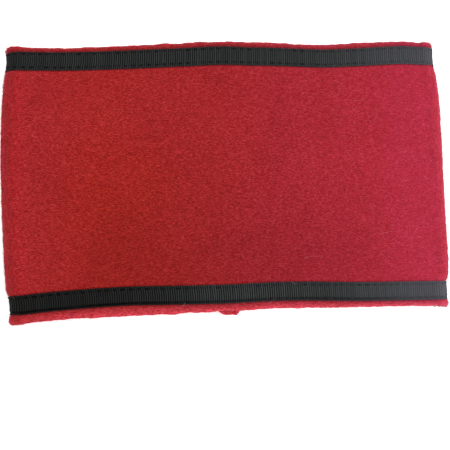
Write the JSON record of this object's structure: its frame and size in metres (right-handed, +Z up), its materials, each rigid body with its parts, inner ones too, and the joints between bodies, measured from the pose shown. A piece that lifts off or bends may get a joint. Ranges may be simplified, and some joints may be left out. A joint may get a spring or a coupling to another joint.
{
  "type": "armband",
  "caption": "Cloth armband lying flat: a sewn loop of thick red wool with hemmed edges and a black ribbed ribbon stitched round near each edge, open right through for an arm.",
  "frame": {"origin": "centre of the underside of the object's box, on the surface that the armband lies on", "axes": "+X along the flattened loop, +Y across the band towards its upper edge and along the way an arm goes in, +Z up through the two layers"},
  "size_m": [0.2012, 0.1242, 0.0135],
  "materials": {
    "wool": "fulled red wool cloth with a short curly nap, matt",
    "ribbon": "black grosgrain ribbon, fine ribs across its width, slightly lustrous"
  },
  "bodies": {
    "root": {"wool_band": "wool", "seam_allowance_left": "wool", "seam_allowance_right": "wool", "upper_ribbon": "ribbon", "lower_ribbon": "ribbon"}
  },
  "joints": []
}
